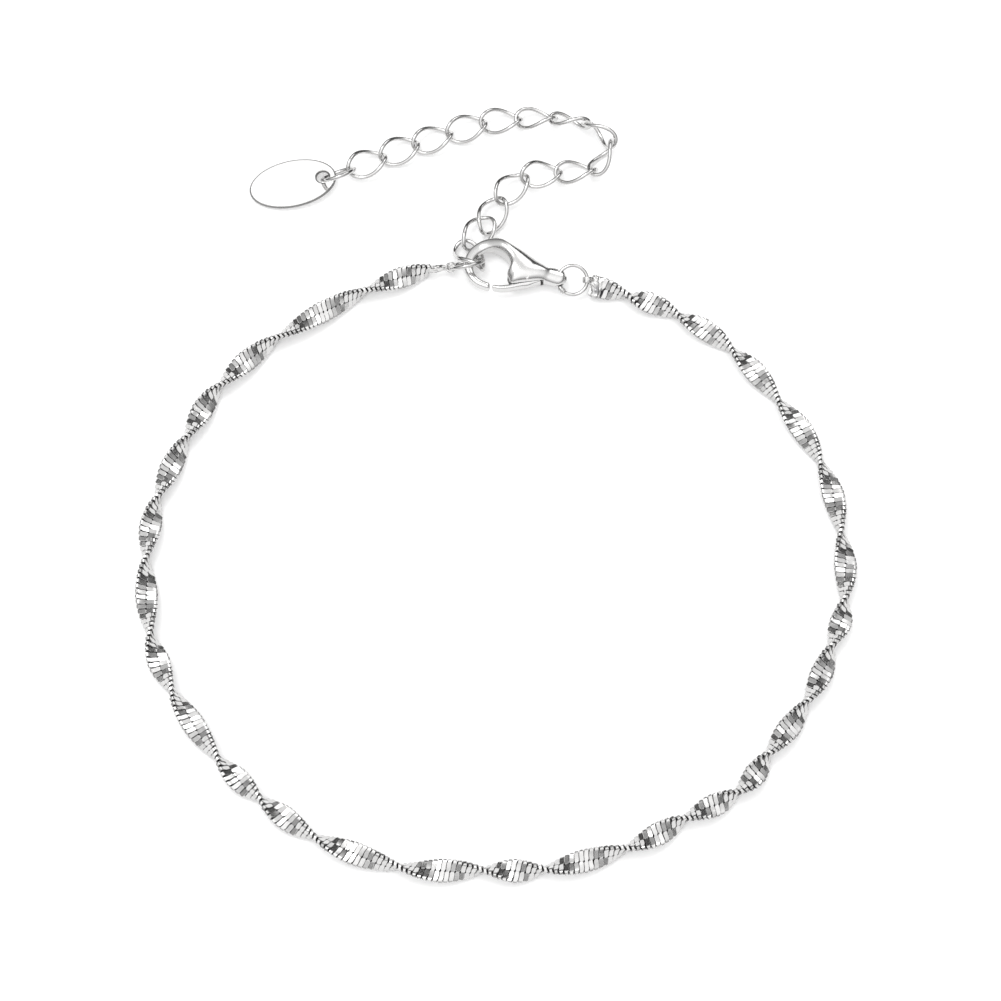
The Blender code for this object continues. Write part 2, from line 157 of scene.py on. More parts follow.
# Extender links from the tag to the clasp: centre, heading, rise and roll in degrees
LINK_LENGTH = 4.05
LINK_WIDTH = 2.75
LINK_TWIST = 90.0
EXTENDER_LINKS = [
    (-11.74, 29.63, 0.98, 27.8, -6.1, 6.5),
    (-8.88, 31.01, 0.76, 24.7, -2.1, 10.2),
    (-5.92, 32.18, 0.71, 20.7, -0.2, 1.5),
    (-2.89, 33.24, 0.79, 17.7, 2.4, 7.1),
    (0.19, 33.93, 0.93, 5.0, 0.4, -6.6),
    (3.33, 34.03, 1.20, -5.0, 8.3, -26.5),
    (6.37, 33.63, 1.47, -13.2, 4.5, -56.7),
    (9.00, 32.29, 1.71, -42.3, 7.4, -83.7),
    (9.26, 30.03, 1.24, -118.8, -5.8, -124.8),
    (6.85, 28.83, 0.86, -176.1, -3.3, -157.6),
    (3.75, 28.55, 0.94, -167.0, 9.2, -3.0),
    (1.10, 27.05, 1.12, -134.2, 1.6, -5.6),
    (-0.61, 24.45, 0.90, -116.8, -3.7, -15.2),
    (-1.83, 22.70, 0.88, -129.7, -0.1, -20.7),
    (-2.50, 20.38, 1.01, -56.2, 13.6, -27.8),
]

# Oval tag
TAG_CENTRE = (-18.27, 27.78, 0.52)
TAG_LENGTH = 7.8
TAG_WIDTH = 4.6
TAG_THICKNESS = 0.36
TAG_HEADING = 11.0
TAG_TILT = 4.5
TAG_HOLE_RADIUS = 0.56
TAG_HOLE_INSET = 1.18
TAG_BEVEL = 0.14
TAG_FACE_LIMIT = 0.99

# Lobster clasp, drawn flat about its hook's centre with the tail towards its own +X
CLASP_CENTRE = (-0.60, 19.32, 1.25)
CLASP_HEADING = -12.0
CLASP_REACH = 5.95
CLASP_THICKNESS = 2.30
ARM_THICKNESS = 0.95
HOOK_TIP_THICKNESS = 0.90
TAIL_THICKNESS = 1.24
HOOK_RADIUS = 2.43
OPENING_RADIUS = 1.60
OPENING_DROP = 0.20
TAIL_RADIUS = 0.80
TAIL_HOLE_CLEARANCE = 0.21
PIVOT_SHARES = (0.5546, -0.3539)
PIN_RADIUS = 0.18
LEVER_THICKNESS = 0.90
LEVER_CLEARANCE = 0.08

# Hook's widening into the body: outer angle, inner angle, share of the way to full thickness
HOOK_SWELL = [(112, 110, 0.25), (96, 92, 0.60), (80, 72, 0.90)]

# Lever's stations from its tip to its thumb end: shares along and across, and half its width
LEVER_STATIONS = [
    (0.098, -0.873, 0.18), (0.200, -0.852, 0.22), (0.335, -0.748, 0.24), (0.450, -0.585, 0.32),
    (0.555, -0.390, 0.54), (0.660, -0.350, 0.30), (0.745, -0.295, 0.15),
]
LEVER_SQUARENESS = 3.2

# Corners of the slot for the lever, as shares along and across
SLOT_CORNERS = [
    (0.17, -0.30), (0.17, -1.20), (0.70, -1.10), (0.81, -0.60), (0.79, -0.08), (0.45, -0.08),
]


def unit(vectors):
    """Vectors scaled to length one along their last axis."""
    vectors = np.asarray(vectors, float)
    return vectors / np.linalg.norm(vectors, axis=-1, keepdims=True)


def signed_power(values, power):
    """Values raised to a power that keep their sign, which squares up a round curve."""
    return np.sign(values) * np.abs(values) ** power


def smooth_curve(points, at):
    """Points on the smooth curve through the given rows, where at counts the rows passed so far."""
    points = np.asarray(points, float)
    at = np.asarray(at, float)
    last = len(points) - 1
    padded = np.vstack([2 * points[0] - points[1], points, 2 * points[last] - points[last - 1]])
    i = np.clip(np.floor(at).astype(int), 0, last - 1)
    t = (at - i)[:, None]
    before, start, end, after = padded[i], padded[i + 1], padded[i + 2], padded[i + 3]
    lead = (end - before) / 2
    trail = (after - start) / 2
    return (
        start * (2 * t**3 - 3 * t**2 + 1)
        + lead * (t**3 - 2 * t**2 + t)
        + end * (3 * t**2 - 2 * t**3)
        + trail * (t**3 - t**2)
    )


def deselect_all():
    """Leave nothing selected."""
    for obj in list(bpy.context.selected_objects):
        obj.select_set(False)


def make_active(obj):
    """Select one object alone and make it active."""
    deselect_all()
    obj.select_set(True)
    bpy.context.view_layer.objects.active = obj


def add_mesh(name, points, faces):
    """A mesh object from points in millimetres."""
    mesh = bpy.data.meshes.new(name)
    mesh.from_pydata((np.asarray(points, float) * MM).tolist(), [], faces)
    mesh.update()
    obj = bpy.data.objects.new(name, mesh)
    bpy.context.scene.collection.objects.link(obj)
    return obj


def skin_sections(name, sections, closed=False):
    """A closed skin through sections of equally many points, shaped (sections, points, 3)."""
    sections = np.asarray(sections, float)
    rows, around, _ = sections.shape
    index = np.arange(rows * around).reshape(rows, around)
    start = index if closed else index[:-1]
    end = np.roll(index, -1, axis=0) if closed else index[1:]
    quads = np.stack([start, np.roll(start, -1, axis=1), np.roll(end, -1, axis=1), end], axis=-1)
    faces = quads.reshape(-1, 4).tolist()
    if not closed:
        faces += [index[0][::-1].tolist(), index[-1].tolist()]
    obj = add_mesh(name, sections.reshape(-1, 3), faces)
    make_active(obj)
    bpy.ops.object.mode_set(mode="EDIT")
    bpy.ops.mesh.select_all(action="SELECT")
    bpy.ops.mesh.normals_make_consistent(inside=False)
    bpy.ops.object.mode_set(mode="OBJECT")
    return obj


def wire_through(name, points, thickness, closed=True, sides=12):
    """A round wire along the given points."""
    points = np.asarray(points, float)
    if closed:
        ahead = unit(np.roll(points, -1, axis=0) - np.roll(points, 1, axis=0))
    else:
        ahead = unit(np.gradient(points, axis=0))
    # The section's first direction is carried along the wire without turning about it.
    across = [unit(np.cross(ahead[0], [0.31, 0.17, 0.94]))]
    for direction in ahead[1:]:
        carried = across[-1] - direction * np.dot(direction, across[-1])
        across.append(unit(carried))
    across = np.array(across)
    up = np.cross(ahead, across)
    slip = 0.0
    if closed:
        carried = unit(across[-1] - ahead[0] * np.dot(ahead[0], across[-1]))
        slip = math.atan2(np.dot(carried, up[0]), np.dot(carried, across[0]))
    angles = np.linspace(0, 2 * math.pi, sides, endpoint=False)
    turn = angles[None, :] - slip * (np.arange(len(points)) / len(points))[:, None]
    radius = np.broadcast_to(thickness, len(points))[:, None, None] / 2
    sections = (
        points[:, None, :]
        + radius * np.cos(turn)[..., None] * across[:, None, :]
        + radius * np.sin(turn)[..., None] * up[:, None, :]
    )
    return skin_sections(name, sections, closed)


def cut_or_join(obj, tool, operation):
    """Cut a helper solid from a piece or join it on, then remove the helper."""
    modifier = obj.modifiers.new(operation.title(), "BOOLEAN")
    modifier.operation = operation
    modifier.object = tool
    modifier.solver = "EXACT"
    make_active(obj)
    bpy.ops.object.modifier_apply(modifier=modifier.name)
    bpy.data.objects.remove(tool, do_unlink=True)


def round_bar(name, start, end, radius, sides=32):
    """A cylinder between two points in millimetres."""
    start, end = Vector(start) * MM, Vector(end) * MM
    deselect_all()
    bpy.ops.mesh.primitive_cylinder_add(
        vertices=sides,
        radius=radius * MM,
        depth=(end - start).length,
        location=(start + end) / 2,
        rotation=(end - start).to_track_quat("Z", "Y").to_euler(),
    )
    obj = bpy.context.active_object
    obj.name = name
    bpy.ops.object.transform_apply(location=True, rotation=True, scale=True)
    return obj


def bevel_edges(obj, width, segments=3, angle=35.0):
    """Round a piece's sharp edges."""
    modifier = obj.modifiers.new("Bevel", "BEVEL")
    modifier.width = width * MM
    modifier.segments = segments
    modifier.limit_method = "ANGLE"
    modifier.angle_limit = math.radians(angle)
    make_active(obj)
    bpy.ops.object.modifier_apply(modifier=modifier.name)


def finish_piece(obj, material, body, *nodes, crease=40.0):
    """Shade a piece, give it its material, and say what carries it and which nodes it stands for."""
    make_active(obj)
    bpy.ops.object.transform_apply(location=True, rotation=True, scale=True)
    bpy.ops.object.shade_smooth_by_angle(angle=math.radians(crease))
    obj.data.materials.clear()
    obj.data.materials.append(material)
    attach(obj, body)
    if nodes:
        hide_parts(*nodes)
    return obj


def ring_axes(normal):
    """A ring's two directions in its own plane: the one nearest +X, and the one across it."""
    normal = unit(normal)
    along = unit(np.array([1.0, 0.0, 0.0]) - normal * normal[0])
    return along, np.cross(normal, along)


def ring_points(name, degrees):
    """Points on the middle line of a jump ring's wire."""
    centre, normal, radius, _ = RINGS[name]
    along, across = ring_axes(normal)
    angle = np.radians(degrees)[:, None]
    return np.array(centre) + radius * (along * np.cos(angle) + across * np.sin(angle))


def write_painted_shade(obj, values):
    """Give a piece's points the depth value by which painted shade darkens its silver."""
    layer = obj.data.attributes.new("depth", "FLOAT", "POINT")
    layer.data.foreach_set("value", values.astype(np.float32))


def solder_lumps(seed, size, shape):
    """Small even lumps for a soldered surface, shaped like its sections."""
    lumps = np.random.default_rng(seed).normal(0.0, size, shape)
    return (lumps + np.roll(lumps, 1, axis=1) + np.roll(lumps, -1, axis=1)) * 0.8


def silver_finish_group():
    """Node group: the tone, roughness and slight unevenness of polished silver."""
    group = bpy.data.node_groups.new("Silver Finish", "ShaderNodeTree")
    face = group.interface
    face.new_socket("Tone", in_out="INPUT", socket_type="NodeSocketColor")
    face.new_socket("Shade", in_out="INPUT", socket_type="NodeSocketColor")
    face.new_socket("Roughness", in_out="INPUT", socket_type="NodeSocketFloat")
    face.new_socket("Wave Height", in_out="INPUT", socket_type="NodeSocketFloat")
    face.new_socket("Wave Scale", in_out="INPUT", socket_type="NodeSocketFloat")
    face.new_socket("Color", in_out="OUTPUT", socket_type="NodeSocketColor")
    face.new_socket("Roughness", in_out="OUTPUT", socket_type="NodeSocketFloat")
    face.new_socket("Normal", in_out="OUTPUT", socket_type="NodeSocketVector")
    nodes, links = group.nodes, group.links
    entry = nodes.new("NodeGroupInput")
    leave = nodes.new("NodeGroupOutput")
    place = nodes.new("ShaderNodeTexCoord")

    wave = nodes.new("ShaderNodeTexNoise")
    wave.inputs["Detail"].default_value = 1.0
    links.new(place.outputs["Object"], wave.inputs["Vector"])
    links.new(entry.outputs["Wave Scale"], wave.inputs["Scale"])
    bump = nodes.new("ShaderNodeBump")
    bump.inputs["Strength"].default_value = 1.0
    bump.inputs["Distance"].default_value = WAVE_DEPTH
    lift = nodes.new("ShaderNodeMath")
    lift.operation = "MULTIPLY"
    links.new(wave.outputs["Fac"], lift.inputs[0])
    links.new(entry.outputs["Wave Height"], lift.inputs[1])
    links.new(lift.outputs[0], bump.inputs["Height"])
    links.new(bump.outputs["Normal"], leave.inputs["Normal"])

    haze = nodes.new("ShaderNodeTexNoise")
    haze.inputs["Scale"].default_value = HAZE_SCALE
    haze.inputs["Detail"].default_value = 4.0
    links.new(place.outputs["Object"], haze.inputs["Vector"])
    spread = nodes.new("ShaderNodeMapRange")
    spread.inputs["To Min"].default_value = 0.6
    spread.inputs["To Max"].default_value = 1.4
    links.new(haze.outputs["Fac"], spread.inputs["Value"])
    rough = nodes.new("ShaderNodeMath")
    rough.operation = "MULTIPLY"
    links.new(spread.outputs["Result"], rough.inputs[0])
    links.new(entry.outputs["Roughness"], rough.inputs[1])
    links.new(rough.outputs[0], leave.inputs["Roughness"])

    blend = nodes.new("ShaderNodeMix")
    blend.data_type = "RGBA"
    share = nodes.new("ShaderNodeMapRange")
    share.inputs["From Min"].default_value = 0.35
    share.inputs["From Max"].default_value = 0.75
    share.inputs["To Max"].default_value = 0.35
    links.new(haze.outputs["Fac"], share.inputs["Value"])
    links.new(share.outputs["Result"], blend.inputs["Factor"])
    links.new(entry.outputs["Tone"], blend.inputs["A"])
    links.new(entry.outputs["Shade"], blend.inputs["B"])
    links.new(blend.outputs["Result"], leave.inputs["Color"])
    return group


def silver_material(name, tone, shade, roughness, wave_height, wave_scale, depth=False):
    """Polished silver from the shared finish, with painted shade in its gaps where the mesh carries a depth
    value.
    """
    group = bpy.data.node_groups.get("Silver Finish") or silver_finish_group()
    material = bpy.data.materials.new(name)
    material.use_nodes = True
    nodes, links = material.node_tree.nodes, material.node_tree.links
    shader = nodes["Principled BSDF"]
    shader.inputs["Metallic"].default_value = 1.0
    finish = nodes.new("ShaderNodeGroup")
    finish.node_tree = group
    finish.inputs["Tone"].default_value = (*tone, 1.0)
    finish.inputs["Shade"].default_value = (*shade, 1.0)
    finish.inputs["Roughness"].default_value = roughness
    finish.inputs["Wave Height"].default_value = wave_height
    finish.inputs["Wave Scale"].default_value = wave_scale
    links.new(finish.outputs["Roughness"], shader.inputs["Roughness"])
    links.new(finish.outputs["Normal"], shader.inputs["Normal"])
    if depth:
        # Painted shade: the depth value mixes the silver towards a near-black grey.
        painted_shade_mask = nodes.new("ShaderNodeAttribute")
        painted_shade_mask.attribute_name = "depth"
        dark = nodes.new("ShaderNodeMix")
        dark.data_type = "RGBA"
        dark.inputs["B"].default_value = PAINTED_GAP_SHADE
        links.new(painted_shade_mask.outputs["Fac"], dark.inputs["Factor"])
        links.new(finish.outputs["Color"], dark.inputs["A"])
        links.new(dark.outputs["Result"], shader.inputs["Base Color"])
    else:
        links.new(finish.outputs["Color"], shader.inputs["Base Color"])
    return material


def shaded(colour, share):
    """A colour at a share of its brightness."""
    return tuple(channel * share for channel in colour)


def listed_silver(name, depth=False):
    """One of the listed silver finishes, in the panel's two colours."""
    settings = bpy.context.scene.bracelet
    tone_share, shade_share, roughness, wave_height, wave_scale = FINISHES[name]
    tone = shaded(settings.silver_tone, tone_share)
    shade = shaded(settings.silver_shade, shade_share)
    return silver_material(name, tone, shade, roughness, wave_height, wave_scale, depth)


def chain_course():
    """The chain's course at fine steps: run so far, place and half turns so far."""
    flat = np.array([(x, y, 0.0) for x, y in [TIP_END, TIP_BEND] + CHAIN_ROUTE])
    settings = bpy.context.scene.bracelet
    flat[:, 2] = settings.chain_width / MM / 2 + COURSE_LIFT
    count = (len(flat) - 1) * COURSE_FINENESS
    at = np.arange(count + 1) / COURSE_FINENESS
    places = smooth_curve(flat, at)
    past = at - COURSE_LEAD_IN
    turns = np.where(past > 0, past, np.maximum(past / 2, -0.5))
    steps = np.linalg.norm(np.diff(places, axis=0), axis=1)
    return np.concatenate([[0.0], np.cumsum(steps)]), places, turns


def chain_frames(course, run):
    """At each run along the chain: its place, direction, and the ways its width and its face point."""
    lengths, places, turns = course

    def along(values, runs):
        return np.stack([np.interp(runs, lengths, values[:, k]) for k in range(3)], axis=-1)

    reach = 0.05
    spot = along(places, run)
    low = np.clip(run - reach, 0.0, lengths[-1])
    high = np.clip(run + reach, 0.0, lengths[-1])
    ahead = unit(along(places, high) - along(places, low))
    turned = np.interp(run, lengths, turns) * math.pi
    upright = unit(EDGE_DIRECTION - ahead * (ahead @ EDGE_DIRECTION)[:, None])
    sideways = np.cross(ahead, upright)
    width_way = upright * np.cos(turned)[:, None] + sideways * np.sin(turned)[:, None]
    return spot, ahead, width_way, np.cross(ahead, width_way)


def bar_values(theta, values):
    """One value for each bar, which is half a turn of the coil, easing over at the bar's ends."""
    at = theta / math.pi
    k = np.floor(at).astype(int)
    ease = np.clip((at - k - 0.5) / BAR_EASE + 0.5, 0.0, 1.0)
    ease = ease * ease * (3 - 2 * ease)
    k = np.clip(k, 0, len(values) - 2)
    return values[k] * (1 - ease) + values[k + 1] * ease


def coil_row(name, side, shift, material):
    """One of the chain's two rows: a flattened coil of wire whose turns are the bars of the weave."""
    settings = bpy.context.scene.bracelet
    pitch = settings.bar_pitch / MM
    wire_wide = settings.bar_width / MM / 2
    wire_thick = settings.bar_thickness / MM / 2
    half_width = settings.chain_width / MM / 4
    half_thick = settings.chain_thickness / MM / 2
    across = half_width - wire_thick - ROW_SEAM_GAP
    through = half_thick - wire_thick
    course = chain_course()
    length = course[0][-1]
    turns = int((length - ROW_END_GAP - ROW_START) / pitch)
    theta = np.arange(turns * COIL_STEPS + 1) / COIL_STEPS * 2 * math.pi
    run = ROW_START + pitch * (theta / (2 * math.pi) + shift) - COIL_LEAN * np.sin(2 * theta)
    spot, ahead, width_way, face_way = chain_frames(course, run)
    # Each bar sits a little differently from the next, as in a chain made by machine and then polished.
    dice = np.random.default_rng(ROW_SEEDS[side])
    bars = 2 * turns + 2
    sway = bar_values(theta, 0.55 * np.sin(np.arange(bars) * 0.9) + dice.uniform(-1.0, 1.0, bars))
    odd = dice.uniform(0.0, 1.0, bars) < ODD_BAR_SHARE
    rock = bar_values(theta, dice.uniform(-1.0, 1.0, bars) * np.where(odd, ODD_BAR_TILT, 1.0))
    # Along their seam the rows' bars end in points that stand between each other.
    edge = np.cos(theta) * side > 0
    reach = np.where(edge, across, across + SEAM_REACH)
    square = np.where(edge, COIL_SQUARE, SEAM_SQUARE)
    wide = side * half_width + reach * signed_power(np.cos(theta), square)
    bulge = 1 + BAR_SWAY * sway * np.cos(theta)
    high = -through * signed_power(np.sin(theta), COIL_SQUARE) * bulge
    middle = spot + width_way * wide[:, None] + face_way * high[:, None]
    outward = unit(
        width_way * (signed_power(np.cos(theta), 2 - COIL_SQUARE) / across)[:, None]
        - face_way * (signed_power(np.sin(theta), 2 - COIL_SQUARE) / through)[:, None]
    )
    tilt = settings.bar_tilt * rock * np.abs(np.sin(theta))
    lead = ahead * np.cos(tilt)[:, None] + outward * np.sin(tilt)[:, None]
    crown = outward * np.cos(tilt)[:, None] - ahead * np.sin(tilt)[:, None]
    thick_cut, wide_cut = wire_thick - BAR_CUT, wire_wide - BAR_CUT
    profile = [
        (wire_thick, wide_cut), (thick_cut, wire_wide), (-thick_cut, wire_wide), (-wire_thick, wide_cut),
        (-wire_thick, -wide_cut), (-thick_cut, -wire_wide), (thick_cut, -wire_wide), (wire_thick, -wide_cut),
    ]
    outer, along = (np.array(column) for column in zip(*profile))
    # A bar narrows where it turns over the chain's edge, which opens the gaps there.
    opened = EDGE_NARROWING * np.clip(side * np.cos(theta), 0.0, 1.0) ** 4
    seamward = np.clip(-side * np.cos(theta), 0.0, 1.0) ** SEAM_SQUARE
    pointed = POINT_NARROWING * np.clip((seamward - POINT_START) / (1 - POINT_START), 0.0, 1.0)
    along = along[None, :] * (1 - opened - pointed)[:, None]
    sections = (
        middle[:, None, :] + outer[None, :, None] * crown[:, None, :] + along[..., None] * lead[:, None, :]
    )
    obj = skin_sections(name, sections)
    # Painted shade: the half of each bar's section that faces into the coil is darkened, standing in for the
    # shade between the bars.
    write_painted_shade(obj, np.tile([0.0, 0.0, 1.0, 1.0, 1.0, 1.0, 0.0, 0.0], len(theta)))
    return finish_piece(obj, material, ROOT, "twisted_chain", crease=32.0)


def band_sections(course, runs, width, thickness, power, sides=16):
    """Sections of a flat band with rounded edges along the chain's course."""
    spot, _, width_way, face_way = chain_frames(course, runs)
    phi = np.linspace(0, 2 * math.pi, sides, endpoint=False)
    wide = signed_power(np.cos(phi), power)[None, :] * np.broadcast_to(width, runs.shape)[:, None] / 2
    high = signed_power(np.sin(phi), power)[None, :] * np.broadcast_to(thickness, runs.shape)[:, None] / 2
    return (
        spot[:, None, :] + wide[..., None] * width_way[:, None, :] + high[..., None] * face_way[:, None, :]
    )


def solder_wedge(name, start, width_way, face_way, end, material):
    """A lumpy wedge of solder that narrows from the chain's end to its eye."""
    share = np.linspace(0.0, 1.0, 9)[:, None]
    spots = np.asarray(start) * (1 - share) + np.asarray(end) * share
    wide = np.interp(share[:, 0], *WEDGE_WIDTH)
    high = np.interp(share[:, 0], *WEDGE_THICKNESS)
    phi = np.linspace(0, 2 * math.pi, 24, endpoint=False)
    sections = (
        spots[:, None, :]
        + (signed_power(np.cos(phi), 0.7)[None, :] * wide[:, None] / 2)[..., None] * width_way
        + (signed_power(np.sin(phi), 0.7)[None, :] * high[:, None] / 2)[..., None] * face_way
    )
    wedge = skin_sections(name, sections + solder_lumps(9, WEDGE_LUMPS, sections.shape))
    return finish_piece(wedge, material, ROOT, crease=60.0)


def eye_spot(ring, degrees):
    """The middle of a chain's eye on its ring's wire, and the wire's direction there."""
    spots = ring_points(ring, np.array([degrees - 2.0, degrees, degrees + 2.0]))
    return spots[1], unit(spots[2] - spots[0])


def chain_eye(name, ring, degrees, anchor, material):
    """The eye at a chain's end: a short tube round its ring's wire, with a tab back to the chain."""
    bore = RINGS[ring][3] / 2 + EYE_CLEARANCE
    spot, ahead = eye_spot(ring, degrees)
    half = ahead * EYE_LENGTH / 2
    eye = round_bar(name, spot - half, spot + half, bore + EYE_WALL)
    tab_end = spot - unit(spot - np.array(anchor)) * (bore + EYE_TAB_GAP)
    tab = round_bar(name + "_tab", anchor, tab_end, EYE_TAB_WIDTH / 2)
    cut_or_join(eye, tab, "UNION")
    cut_or_join(eye, round_bar(name + "_bore", spot - half * 2, spot + half * 2, bore), "DIFFERENCE")
    bevel_edges(eye, 0.05)
    return finish_piece(eye, material, ROOT)


def clasp_matrix():
    """From the clasp's own drawing, in metres, to its place."""
    turn = Matrix.Rotation(math.radians(CLASP_HEADING), 4, "Z")
    return Matrix.Translation(Vector(CLASP_CENTRE) * MM) @ turn


def hook_outer(degrees):
    """A point on the outside of the hook."""
    angle = math.radians(degrees)
    return HOOK_RADIUS * math.cos(angle), HOOK_RADIUS * math.sin(angle)


def hook_inner(degrees):
    """A point on the hook's round opening."""
    angle = math.radians(degrees)
    return OPENING_RADIUS * math.cos(angle), OPENING_RADIUS * math.sin(angle) - OPENING_DROP


def body_point(along, across):
    """A point of the clasp's body, as shares of its reach and its hook."""
    return along * CLASP_REACH, across * HOOK_RADIUS


def clasp_rows():
    """Stations from the hook's tip to the tail: outer point, inner point, thickness, squareness."""
    arm, full, tail, reach = ARM_THICKNESS, CLASP_THICKNESS, TAIL_THICKNESS, CLASP_REACH
    tip = HOOK_TIP_THICKNESS
    rows = [(hook_outer(274), hook_inner(272), tip * 0.96, 3.6)]
    for degrees in range(268, 129, -23):
        share = (268 - degrees) / 138
        rows.append((hook_outer(degrees), hook_inner(degrees), tip + (arm - tip) * share, 3.6))
    for outer, inner, share in HOOK_SWELL:
        rows.append((hook_outer(outer), hook_inner(inner), arm + (full - arm) * share, 3.6))
    rows += [
        (hook_outer(66), hook_inner(50), full, 3.2),
        (body_point(0.26, 0.85), hook_inner(28), full, 2.8),
        (body_point(0.36, 0.77), hook_inner(4), full, 2.8),
        (body_point(0.47, 0.66), hook_inner(-22), full, 2.8),
        (body_point(0.56, 0.55), body_point(0.29, -0.52), full, 2.8),
        (body_point(0.64, 0.46), body_point(0.34, -0.68), full, 2.7),
        (body_point(0.70, 0.40), body_point(0.48, -0.57), full * 0.98, 2.6),
        (body_point(0.76, 0.34), body_point(0.62, -0.45), full * 0.93, 2.5),
        (body_point(0.83, 0.28), body_point(0.76, -0.34), full * 0.80, 2.4),
        ((reach - 0.75, TAIL_RADIUS), (reach - 0.85, -TAIL_RADIUS), tail * 1.2, 2.3),
        ((reach, TAIL_RADIUS), (reach, -TAIL_RADIUS), tail, 2.3),
        ((reach + 0.40, TAIL_RADIUS * 0.78), (reach + 0.40, -TAIL_RADIUS * 0.78), tail * 0.9, 2.2),
        ((reach + 0.60, TAIL_RADIUS * 0.40), (reach + 0.60, -TAIL_RADIUS * 0.40), tail * 0.6, 2.1),
    ]
    return np.array([(*outer, *inner, thickness, square) for outer, inner, thickness, square in rows])


def pillow_sections(rows, sides=28):
    """Cross-sections with rounded shoulders from rows of outer x, y, inner x, y, thickness, squareness."""
    outer = np.column_stack([rows[:, 0:2], np.zeros(len(rows))])
    inner = np.column_stack([rows[:, 2:4], np.zeros(len(rows))])
    middle = (outer + inner) / 2
    half = (outer - inner) / 2
    phi = np.linspace(0, 2 * math.pi, sides, endpoint=False)
    power = (2 / rows[:, 5])[:, None]
    wide = signed_power(np.cos(phi)[None, :], power)
    high = signed_power(np.sin(phi)[None, :], power) * rows[:, 4][:, None] / 2
    sections = middle[:, None, :] + wide[..., None] * half[:, None, :]
    sections[..., 2] += high
    return sections


def rounded_ends(sections, depth, steps=3):
    """Add shrinking sections at both ends, so that a bar ends round and not flat."""
    sections = list(sections)
    for at, step in ((0, 1), (-1, -1)):
        end = sections[at]
        middle = end.mean(axis=0)
        away = unit(middle - sections[at + step].mean(axis=0))
        caps = []
        for k in range(1, steps + 1):
            angle = math.pi / 2 * k / (steps + 0.4)
            caps.append(middle + (end - middle) * math.cos(angle) + away * depth * math.sin(angle))
        sections = caps[::-1] + sections if at == 0 else sections + caps
    return np.array(sections)


def flat_plate(name, outline, thickness):
    """A straight-sided plate from an outline in the clasp's drawing."""
    outline = np.array(outline, float)
    heights = (-thickness / 2, thickness / 2)
    sections = [np.column_stack([outline, np.full(len(outline), z)]) for z in heights]
    return skin_sections(name, sections)


def slot_outline():
    """The clasp body's slot for its lever."""
    return [body_point(along, across) for along, across in SLOT_CORNERS]


def lever_rows():
    """The lever's stations: upper x, y, lower x, y, thickness, squareness."""
    spots = np.array([body_point(along, across) for along, across, _ in LEVER_STATIONS])
    halves = np.array([half for _, _, half in LEVER_STATIONS])
    ahead = unit(np.gradient(spots, axis=0))
    side = np.column_stack([-ahead[:, 1], ahead[:, 0]]) * halves[:, None]
    rest = np.full((len(spots), 2), (LEVER_THICKNESS, LEVER_SQUARENESS))
    return np.column_stack([spots + side, spots - side, rest])


def link_points(row, count=72):
    """The middle line of one curb link: an oval whose two ends are turned against each other."""
    settings = bpy.context.scene.bracelet
    wire = settings.link_wire / MM
    heading, rise, roll = (math.radians(angle) for angle in row[3:])
    ahead = np.array(
        [math.cos(heading) * math.cos(rise), math.sin(heading) * math.cos(rise), math.sin(rise)]
    )
    side = np.array([-math.sin(heading), math.cos(heading), 0.0])
    up = np.cross(ahead, side)
    angle = np.linspace(0, 2 * math.pi, count, endpoint=False)
    share = np.cos(angle)
    turn = roll - math.radians(LINK_TWIST) / 2 * share
    sideways = np.cos(turn)[:, None] * side + np.sin(turn)[:, None] * up
    return (
        np.array(row[:3])
        + ahead * (LINK_LENGTH - wire) / 2 * share[:, None]
        + sideways * ((LINK_WIDTH - wire) / 2 * np.sin(angle))[:, None]
    )


class BraceletSettings(bpy.types.PropertyGroup):
    """Sizes and colours of the bracelet."""

    chain_width: bpy.props.FloatProperty(
        name="Chain width", description="Width of the flat chain", default=0.00195, unit="LENGTH"
    )
    chain_thickness: bpy.props.FloatProperty(
        name="Chain thickness", description="Thickness of the flat chain", default=0.0005, unit="LENGTH"
    )
    bar_pitch: bpy.props.FloatProperty(
        name="Bar pitch", description="Distance from one bar of the weave to the next", default=0.0004,
        unit="LENGTH",
    )
    bar_width: bpy.props.FloatProperty(
        name="Bar width", description="Width of one bar of the weave", default=0.000395, unit="LENGTH"
    )
    bar_thickness: bpy.props.FloatProperty(
        name="Bar thickness", description="Thickness of one bar of the weave", default=0.00024,
        unit="LENGTH",
    )
    bar_tilt: bpy.props.FloatProperty(
        name="Bar tilt", description="How far a bar of the weave may lean from the next", default=0.15,
        subtype="ANGLE",
    )
    link_wire: bpy.props.FloatProperty(
        name="Link wire", description="Thickness of the extender links' wire", default=0.00038,
        unit="LENGTH",
    )
    silver_tone: bpy.props.FloatVectorProperty(
        name="Silver tone", description="Colour of the polished silver", default=(0.80, 0.795, 0.79),
        subtype="COLOR",
    )
    silver_shade: bpy.props.FloatVectorProperty(
        name="Silver shade", description="Colour of the silver where its polish is duller",
        default=(0.62, 0.615, 0.615), subtype="COLOR",
    )
    floor_tone: bpy.props.FloatVectorProperty(
        name="Floor tone", description="Colour of the floor", default=(0.93, 0.93, 0.93), subtype="COLOR"
    )


